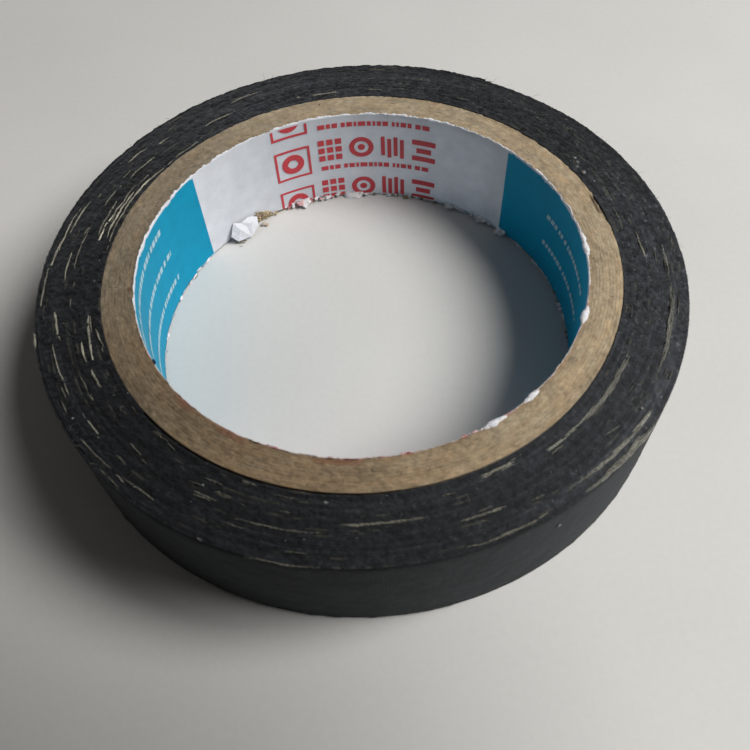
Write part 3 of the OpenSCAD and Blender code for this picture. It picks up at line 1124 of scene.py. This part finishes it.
UNDER_FACES = ((0, 5, 1), (1, 5, 2), (2, 5, 3), (3, 5, 4), (4, 5, 0))
fold(FLAP_AT, [(1.28 * x - 0.1, 1.08 * y, 1.06 * z) for x, y, z in FLAP], FLAP_FACES,
     color=(0.86, 0.87, 0.92), seed=1)
fold(FLAP_AT, UNDER_FLAP, UNDER_FACES, color=(0.82, 0.84, 0.89), seed=2)

# clockwise of the flap the paper is gone and the board shows, rough and fibrous
TEAR_AT = 129.0
x = np.linspace(0, 8.6, 76)[:, None]
part = np.linspace(0, 1, 15)
rise = (2.75 * smooth(-0.6, 1.0, x) * (1 - 0.75 * smooth(4.6, 8.4, x))
        * (1 + 0.16 * noise(x / 0.9, seed=87) + 0.12 * noise(x / 0.3, seed=90)))
below = TOP - 0.12 - (rise - 0.12) * part
lumpy = noise(x / 0.55, below / 0.45, seed=88) + 0.7 * noise(x / 0.22, below / 0.22, seed=98)
inward = ((0.16 + 0.15 * np.clip(lumpy, -1, 1.3)) * np.sin((0.04 + 0.92 * part) * math.pi) ** 0.4
          * np.minimum(1, (8.7 - x) / 0.8))
stain = smooth(0.35, 0.9, noise(x / 1.2, below / 0.8, seed=99))
shade = BROWN * ((0.98 + 0.42 * lumpy) * (1 - 0.45 * stain))[..., None]
board.add(np.concatenate([on_wall(TEAR_AT, x, below, inward),
                          on_wall(TEAR_AT, x, below, -0.05)[:, ::-1]], 1),
          np.concatenate([shade, shade[:, ::-1]], 1))


def torn_at(distance):
    """Azimuth and height of the tear's upper border, clockwise from its start."""
    return TEAR_AT - math.degrees(distance / BORE), np.interp(distance, x.ravel(), rise.ravel())


for i in range(34):
    azimuth, height = torn_at(uniform(0.2, 8.0))
    scrap(board, azimuth, BORE - 0.08, uniform(0.2, 0.9) * height, uniform(0.25, 0.7),
          uniform(0.12, 0.4), uniform(20, 170), uniform(-50, 50), uniform(-60, 60), 1720 + i,
          BROWN * uniform(0.7, 1.6), thick=0.06, tear=0.8)
for i in range(16):             # the paper's torn, lifted border above it
    azimuth, height = torn_at(uniform(0.0, 8.2))
    scrap(board, azimuth, BORE - 0.04, height + 0.05, uniform(0.15, 0.4), uniform(0.3, 0.9),
          uniform(10, 80), uniform(-30, 30), 30, 1780 + i,
          np.array((0.62, 0.60, 0.58)) * uniform(0.8, 1.15), thick=0.05, tear=0.6)
for i in range(26):             # fibres of board caught under the flap
    scrap(board, 132.6 + uniform(-1.6, 2.2), BORE - uniform(0.3, 2.9), uniform(0.05, 0.5),
          uniform(0.3, 0.9), uniform(0.08, 0.25), uniform(40, 130), uniform(-80, 80),
          uniform(-40, 40), 1700 + i, BROWN * uniform(0.5, 1.2), thick=0.06, tear=0.7)
pulp(122.6, BORE - 1.5, 0.42, along=0.55, across=0.42, high=0.34, seed=1746,
     color=(0.66, 0.58, 0.48))
scrap(board, 122.0, BORE - 1.4, 0.10, 0.9, 0.7, lean=40, curl=80, seed=1745,
      color=BROWN * 1.2, thick=0.10, tear=0.6)
for i, azimuth in enumerate(np.linspace(112.5, 96.0, 13)):
    color = (DEEP_RED if i < 8 else WHITE, WHITE, PINK)[i % 3]
    scrap(paper, azimuth + uniform(-0.5, 0.5), BORE - 0.02, uniform(0.5, 1.4), uniform(0.5, 1.2),
          uniform(0.7, 1.7), uniform(125, 175), uniform(-25, 25), uniform(-90, -20), 1760 + i,
          np.array(color) * 0.95, thick=0.05, tear=0.6)
# single curls: azimuth, in from the bore, z, length, width, lean, curl, seed, colour, tear
for azimuth, inset, z, length, width, lean, curl, seed, color, tear in (
        (107.0, 0.08, 1.5, 2.0, 2.4, 168, -95, 1790, WHITE, 0.4),
        (108.4, 0.10, 1.4, 1.5, 1.4, 150, -100, 1791, PINK, 0.4),
        (90.4, 0.06, 0.9, 1.3, 3.9, 150, -70, 1792, (1.0, 0.97, 0.98), 0.35)):
    scrap(paper, azimuth, BORE - inset, z, length, width, lean, 0, curl, seed, color, 0.08, tear)
for i, azimuth in enumerate(np.linspace(88, 62, 22)):
    scrap(paper, azimuth + uniform(-0.6, 0.6), BORE + 0.02, uniform(0.15, 0.9),
          uniform(0.4, 0.95), uniform(0.5, 1.4), uniform(90, 190), uniform(-40, 40),
          uniform(-60, 60), 1800 + i, np.array((BROWN, WHITE)[i % 2]) * 0.95, thick=0.08, tear=0.5)
# curls along the back right of the lower edge: azimuth, length
for i, (azimuth, length) in enumerate((
        (59.4, 1.9), (58.2, 1.2), (56.6, 0.9), (50.5, 1.1), (47.4, 1.7), (45.6, 1.2), (43.5, 1.0),
        (39.5, 1.9), (37.6, 1.3))):
    scrap(paper, azimuth, BORE - 0.05, 1.1, length, 0.9 + 0.3 * (i % 3), lean=150,
          swing=20 * (i % 3 - 1), curl=-80, seed=1830 + i, tear=0.45)
for i in range(46):             # ragged bits along the right and left parts of the lower edge
    azimuth = uniform(10, 56) if i % 2 else uniform(142, 205)
    scrap(paper, azimuth, BORE - 0.02, uniform(0.2, 0.7), uniform(0.2, 0.6), uniform(0.6, 2.2),
          uniform(120, 185), uniform(-15, 15), uniform(-60, 20), 1860 + i,
          (WHITE, WHITE, (0.45, 0.62, 0.72))[i % 3], thick=0.05, tear=0.7)
for i in range(60):             # and around the rest of it
    scrap(paper, uniform(205, 370), BORE + 0.02, uniform(0.2, 0.7), uniform(0.3, 0.8),
          uniform(0.4, 1.1), uniform(110, 190), uniform(-30, 30), uniform(-60, 30), 1950 + i,
          (WHITE, BROWN)[i % 2], thick=0.06, tear=0.5)
paper.object("torn_liner_paper", TORN_PAPER)
folded.object("folded_liner_flap", TORN_PAPER, flat=True)
board.object("bared_board", KRAFT)

# ---------------------------------------------------------------- loose yarns, fibres and lint
CREAM = np.array([0.46, 0.44, 0.35])
# pulled warp yarns: start radius and azimuth, end radius and azimuth, brightness 1 to 3
YARNS = (
    (51.2, 146.2, 50.8, 138.9, 1), (49.6, 138.7, 49.6, 134.8, 1), (47.1, 127.8, 47.1, 118.6, 1),
    (50.4, 117.2, 50.7, 112.9, 1), (50.2, 118.1, 50.5, 109.3, 1), (45.1, 99.8, 45.4, 92.0, 2),
    (44.4, 149.4, 43.9, 140.0, 1), (48.6, 162.2, 48.3, 150.5, 1), (46.2, 170.1, 45.9, 160.5, 2),
    (44.1, 172.4, 44.6, 153.2, 1), (53.1, 177.0, 52.6, 168.3, 2), (48.8, 177.2, 48.8, 164.7, 1),
    (54.5, 191.0, 54.3, 194.9, 2), (51.1, 186.9, 50.4, 195.3, 2), (51.6, 194.8, 51.3, 208.6, 1),
    (47.2, 196.3, 47.3, 201.9, 2), (45.6, 189.8, 46.1, 202.9, 2), (46.9, 203.5, 46.8, 209.1, 2),
    (44.7, 193.9, 43.9, 200.0, 1), (50.9, 211.1, 50.7, 218.4, 1), (53.0, 215.9, 52.5, 224.8, 1),
    (52.5, 224.8, 52.3, 234.4, 1), (53.8, 222.4, 53.8, 228.2, 1), (49.9, 245.6, 49.6, 261.6, 1),
    (48.3, 262.9, 48.1, 278.3, 2), (54.4, 250.3, 54.3, 261.4, 1), (44.9, 288.4, 44.7, 297.6, 3),
    (50.0, 282.4, 50.0, 290.4, 2), (53.7, 281.9, 53.5, 296.4, 2), (46.1, 301.6, 46.1, 310.9, 3),
    (46.1, 310.9, 46.3, 322.9, 3), (46.3, 322.9, 46.2, 331.2, 2), (49.7, 311.4, 50.5, 315.6, 1),
    (52.2, 298.7, 52.9, 321.9, 3), (53.9, 300.8, 54.3, 320.1, 3), (45.4, 10.2, 45.4, 3.3, 1),
    (47.3, 2.4, 47.5, -6.5, 2), (50.9, -1.3, 51.0, -11.1, 2), (51.0, -11.1, 51.3, -21.1, 2),
    (51.3, -21.1, 51.3, -34.3, 2), (53.0, 0.5, 52.7, -3.2, 1), (45.0, 168, 45.2, 152, 2),
    (45.6, 166, 45.9, 150, 1), (44.6, 160, 44.5, 147, 2), (46.6, 168, 46.9, 156, 1),
    (44.2, 139, 44.2, 131, 1), (52.6, 172, 52.9, 160, 1), (53.4, 186, 53.3, 176, 1),
    (51.9, 168, 51.8, 158, 1), (47.9, 150, 47.8, 141, 1), (50.0, 181, 50.2, 172, 1))
# runs where several yarns side by side have lost their rubber: same first four columns
BANDS = ((52.2, 298.0, 52.7, 322.5), (53.7, 300.0, 54.0, 321.0), (46.2, 303.0, 46.3, 331.0),
         (51.2, 330.0, 51.2, 352.0))
# white lint on the upper face: radius, azimuth, size
LINT = ((45.5, 102.8, 0.42), (45.1, -99.1, 0.40), (46.0, 27.4, 0.38), (44.8, 24.7, 0.42),
        (45.0, 22.3, 0.46), (45.7, 26.0, 0.28), (45.4, 18.8, 0.25), (52.4, 212, 0.22),
        (51.6, -40, 0.2), (47.2, -121, 0.2))

yarn = Heap()
uniform = np.random.default_rng(515).uniform if False else None
draw = np.random.default_rng(515)
uniform = draw.uniform


def tube(heap, path, radius, flatness, color, sides, taper):
    """A tube along a path, thinner at both ends."""
    path = np.asarray(path, float)
    ahead = np.gradient(path, axis=0)
    ahead /= np.linalg.norm(ahead, axis=1)[:, None] + 1e-12
    side = np.cross(ahead, np.array([0, 0, 1.0]))
    side /= np.linalg.norm(side, axis=1)[:, None] + 1e-9
    normal = np.cross(side, ahead)
    part = np.linspace(0, 1, len(path))
    profile = np.clip(np.minimum(part, 1 - part) / taper, 0.0, 1.0) ** 0.5 * 0.8 + 0.2
    angle = np.arange(sides) / sides * 2 * math.pi
    radii = (radius * profile)[:, None]
    points = (path[:, None, :] + side[:, None, :] * (np.cos(angle) * radii)[..., None]
              + normal[:, None, :] * (np.sin(angle) * radii * flatness)[..., None])
    heap.add(points, color)


def lay_yarn(radius0, azimuth0, radius1, azimuth1, brightness, seed):
    """A pulled length of warp yarn: a few loosely twisted strands with staggered ends."""
    count = max(int(abs(azimuth1 - azimuth0) / 0.40), 10)
    part = np.linspace(0, 1, count)
    arc = part * abs(math.radians(azimuth1 - azimuth0)) * 50
    radius = (radius0 + (radius1 - radius0) * part + 0.11 * noise(arc / 2.6, seed * 3.1, seed=91)
              + 0.04 * noise(arc / 0.8, seed, seed=92))
    angle = np.radians(azimuth0 + (azimuth1 - azimuth0) * part)
    z = (TOP + 0.05 + 0.09 * noise(arc / 1.9, seed * 1.3, seed=93)
         + 0.04 * noise(arc / 0.6, seed, 3, 94) - 0.16 * smooth(0.12, 0.0, part)
         - 0.16 * smooth(0.88, 1.0, part) + shoulder(radius))
    start = azimuth0 % 360
    clean = between(start, 95, 140, 205, 225) * (seed < 100)      # cleaner yarn on the left
    fade = (0.24, 0.42, 0.66)[brightness - 1] * (1 + 0.95 * clean)
    wide = (0.05, 0.10, 0.15)[brightness - 1]
    grey = float(smooth(280, 300, start)) * 0.55                  # dirtier at the front right
    base = (CREAM * (1 - grey) + np.array([0.38, 0.385, 0.35]) * grey) * (1 - 0.28 * grey)
    pick = np.random.default_rng(6000 + seed).uniform
    for j in range(2 + brightness):
        phase = arc * 1.15 + pick(0, 6.28)
        first, last = sorted((pick(0, 0.22), pick(0.78, 1.0))) if j else (0.0, 1.0)
        begin = int(first * count)
        span = slice(begin, max(int(last * count), begin + 6))
        place = radius + (wide * np.sin(phase) + pick(-0.4, 0.4) * wide)
        path = np.stack([place * np.cos(angle), place * np.sin(angle),
                         z + 0.05 * np.cos(phase)], -1)[span]
        thick = (pick(0.065, 0.095) * (1 + 0.10 * clean)
                 * (1 + 0.2 * noise(arc / 0.7, seed + j, 7, 95)))[span]
        soot = np.clip(fade * pick(0.8, 1.15) * (1 + 0.5 * noise(arc / 2.8, seed, 9, 96)),
                       0.10, 1.25)[span]
        color = base * soot[:, None, None] * np.ones((len(path), 5, 1))
        tube(yarn, path, thick, 0.8, color, sides=5, taper=0.25)


def hair(radius, azimuth, z, length, seed, thick, tone, rise=0.5):
    """One stray cotton fibre that starts in the cloth and curls off it."""
    local = np.random.default_rng(7000 + seed)
    local.normal(size=3)        # keeps the sequence of draws
    origin, out, along, up = frame_at(azimuth, radius, z)
    way = (along * local.choice([-1, 1]) * local.uniform(0.5, 1.0)
           + out * local.uniform(-0.5, 0.5) + up * local.uniform(0.1, 1.0) * rise)
    way /= np.linalg.norm(way)
    path = [origin]
    for _ in range(8):
        way = way + 0.35 * local.normal(size=3) * np.array([1, 1, 0.6])
        way /= np.linalg.norm(way)
        path.append(path[-1] + way * length / 8)
    path = np.array(path)
    path[:, 2] = np.clip(path[:, 2], 0.1, TOP + 0.75)
    tube(yarn, path, thick, 0.9, CREAM * tone, sides=4, taper=0.5)


def knot(local, count, size, origin, along, across, lift):
    """A tangled path about a place, on one side of its surface."""
    walk = local.normal(size=(count, 3)).cumsum(axis=0)
    walk -= walk.mean(0)
    walk *= size / (np.abs(walk).max() + 1e-6)
    return origin + walk[:, :1] * along + walk[:, 1:2] * across + np.abs(walk[:, 2:]) * lift


def lint(radius, azimuth, z, size, seed, tone=0.9, on_rim=False):
    """A speck of white lint: a knot of fibres."""
    local = np.random.default_rng(8000 + seed)
    origin, out, along, up = frame_at(azimuth, radius, z)
    across, lift = (up, out) if on_rim else (out, up)
    for _ in range(9):
        path = knot(local, 8, size, origin, along, across * 0.8, lift * 0.35)
        tube(yarn, path, 0.045, 0.9, np.full(3, 0.50) * tone * local.uniform(0.4, 1.1),
             sides=4, taper=0.4)


for i, (radius0, azimuth0, radius1, azimuth1, brightness) in enumerate(YARNS):
    azimuth1 = azimuth0 + ((azimuth1 - azimuth0 + 180) % 360 - 180)
    lay_yarn(radius0, azimuth0, radius1, azimuth1, brightness, i)
for i, (radius0, azimuth0, radius1, azimuth1) in enumerate(BANDS):
    for j in range(3):
        first, last = uniform(0, 0.3), uniform(0.65, 1.0)
        shift = (j - 1) * 0.17
        lay_yarn(radius0 + (radius1 - radius0) * first + shift,
                 azimuth0 + (azimuth1 - azimuth0) * first,
                 radius0 + (radius1 - radius0) * last + shift,
                 azimuth0 + (azimuth1 - azimuth0) * last,
                 3 if j == 1 and i < 2 else 2, 220 + 3 * i + j)
for i in range(60):             # short, sooty lengths all over the face
    radius, azimuth = uniform(44.2, 53.8), uniform(0, 360)
    if azimuth < 130 and draw.random() < 0.55:
        azimuth = uniform(150, 330)
    span = uniform(1.2, 5.0)
    lay_yarn(radius, azimuth, radius + uniform(-0.1, 0.1), azimuth + span, 1, 100 + i)
for i in range(150):            # fibres on the upper face
    hair(uniform(43.8, 54.2), uniform(0, 360), TOP - 0.05, uniform(0.6, 2.4), i,
         uniform(0.018, 0.032), uniform(0.10, 0.45))
for i in range(150):            # fibres at the outer edges of the last lap
    azimuth = uniform(0, 360)
    hair(RIM - 0.25 - 0.21 * (1 + math.cos(math.radians(azimuth - 39))) / 2, azimuth,
         TOP - uniform(0.05, 0.5) if i % 3 else uniform(0.3, 0.8), uniform(0.3, 1.0), 400 + i,
         uniform(0.016, 0.026), uniform(0.10, 0.35), rise=0.4)
for i, (radius, azimuth, size) in enumerate(LINT):
    lint(radius, azimuth, TOP + 0.06, size, i)
lint(RIM - 0.13, -62.2, 15.5, 0.45, seed=30, tone=0.8, on_rim=True)
lint(RIM - 0.25, -116.7, TOP - 0.35, 0.42, seed=31, tone=0.8, on_rim=True)
for i in range(150):            # dust and white specks
    radius, azimuth = uniform(43.7, 54.0), uniform(0, 360)
    if i % 3 == 0:
        azimuth = uniform(-40, 95)
    size = uniform(0.05, 0.15)
    origin, out, along, up = frame_at(azimuth, radius, TOP + uniform(-0.02, 0.06))
    path = knot(draw, 5, size, origin, along, out, up * 0.3)
    tube(yarn, path, 0.035, 0.9, np.array([0.45, 0.45, 0.44]) * uniform(0.5, 1.5),
         sides=4, taper=0.4)
yarn.object("loose_yarns", YARN)

# ---------------------------------------------------------------- frayed end of the strip
fray = Heap()
uniform = np.random.default_rng(616).uniform
part = np.linspace(0, 1, 7)
for i in range(44):
    z = 0.35 + (TOP - 0.7) * i / 43 + uniform(-0.12, 0.12)
    length = uniform(0.15, 0.9) if i % 7 else uniform(0.9, 1.8)
    turn = STRIP_END - 0.25 + np.degrees((length * part + 0.05) / RIM)
    out = 0.28 + 0.05 * np.sin(i * 1.7) + 0.30 * part ** 1.5 * uniform(-0.5, 0.8)
    path = strip(turn, np.clip(out, 0.18, 0.7), z + 0.25 * part ** 2 * uniform(-1, 1))
    tone = uniform(0.12, 0.3) if i % 4 else uniform(0.5, 1.0)
    tube(fray, path, 0.09, 0.8, CREAM * tone, sides=5, taper=0.5)
fray.object("end_fray", YARN, carrier="end_6")


# ---------------------------------------------------------------- floor, light and camera
def floor_material():
    g = Graph("pale_floor")
    place = g.object_coords()
    soft = g.noise(place, scale=14.0, detail=3.0, rough=0.6)
    fine = g.noise(place, scale=900.0, rough=0.5)
    base = g.mix(g.ramp(soft), (0.606, 0.603, 0.590), (0.646, 0.643, 0.630))
    return g.surface(color=g.tint(base, g.ramp(fine, to=(0.985, 1.015))), rough=0.62,
                     specular=0.25)


def flag_material():
    g = Graph("flag_grey")
    mottle = g.noise(g.object_coords(), scale=40.0)
    return g.surface(color=g.mix(mottle, (0.05, 0.05, 0.05), (0.07, 0.07, 0.07)))


def sheet(name, corners, material):
    """A single quad, corners in metres."""
    data = bpy.data.meshes.new(name)
    data.from_pydata(corners, [], [(0, 1, 2, 3)])
    ob = bpy.data.objects.new(name, data)
    bpy.context.scene.collection.objects.link(ob)
    data.materials.append(material)
    return ob


def disk_light(name, size, energy, color, azimuth, elevation, distance):
    """A round light aimed at the roll, unseen by the camera."""
    lamp = bpy.data.lights.new(name, "AREA")
    lamp.shape = "DISK"
    lamp.size = size
    lamp.energy = energy
    lamp.color = color
    ob = bpy.data.objects.new(name, lamp)
    across, up = math.radians(azimuth), math.radians(elevation)
    ob.location = Vector((math.cos(across) * math.cos(up), math.sin(across) * math.cos(up),
                          math.sin(up))) * distance
    aim = Vector((0, 0, 0.01)) - ob.location
    ob.rotation_euler = aim.to_track_quat("-Z", "Y").to_euler()
    ob.visible_camera = False
    bpy.context.scene.collection.objects.link(ob)
    return ob


CORNERS = ((-1, -1), (1, -1), (1, 1), (-1, 1))
sheet("floor", [(0.62 * x, 0.62 * y, 0) for x, y in CORNERS], floor_material())
disk_light("key", size=0.549, energy=11.4, color=(1.0, 0.985, 0.955),
           azimuth=-7.4, elevation=48.9, distance=0.954)

# a grey card just behind the camera, parallel to its picture plane, shades part of the key
card = CAMERA_PLACE - CAMERA_AHEAD * 3 - CAMERA_UP * 27
flag = sheet("flag", [(card + CAMERA_RIGHT * x * 93.5 + CAMERA_UP * y * 87.0) * MM
                      for x, y in CORNERS], flag_material())
flag.visible_camera = False

# a wide, weak fill from low behind, on the roll alone, so that its far side can be read
back_fill = disk_light("back_fill", size=0.9, energy=9.0, color=(0.94, 0.97, 1.0),
                       azimuth=113, elevation=11, distance=2.0)
lit = bpy.data.collections.new("lit_by_back_fill")
for ob in MADE:
    lit.objects.link(ob)
back_fill.light_linking.receiver_collection = lit


def room():
    """A weak fill for the scene, and a brighter grey where the camera sees the world itself."""
    world = bpy.data.worlds.new("room")
    bpy.context.scene.world = world
    world.use_nodes = True
    nodes, link = world.node_tree.nodes, world.node_tree.links.new
    nodes.clear()
    output = nodes.new("ShaderNodeOutputWorld")
    mix = nodes.new("ShaderNodeMixShader")
    link(nodes.new("ShaderNodeLightPath").outputs["Is Camera Ray"], mix.inputs[0])
    for i, color, strength in ((1, (1.02, 0.985, 0.965, 1), 0.065), (2, (0.60, 0.61, 0.59, 1), 0.8)):
        background = nodes.new("ShaderNodeBackground")
        background.inputs["Color"].default_value = color
        background.inputs["Strength"].default_value = strength
        link(background.outputs[0], mix.inputs[i])
    link(mix.outputs[0], output.inputs[0])


room()

lens = bpy.data.cameras.new("camera")
lens.sensor_width = 36.0
lens.lens = 38.565
lens.clip_start = 0.005
lens.dof.use_dof = True
lens.dof.focus_distance = 0.168
lens.dof.aperture_fstop = 50.0
camera = bpy.data.objects.new("camera", lens)
scene = bpy.context.scene
scene.collection.objects.link(camera)
rotation = Matrix((CAMERA_RIGHT, CAMERA_UP, -CAMERA_AHEAD)).transposed()
camera.matrix_world = Matrix.Translation(CAMERA_PLACE * MM) @ rotation.to_4x4()
scene.camera = camera
scene.view_settings.view_transform = "Standard"
scene.view_settings.look = "None"
scene.view_settings.exposure = 0.0
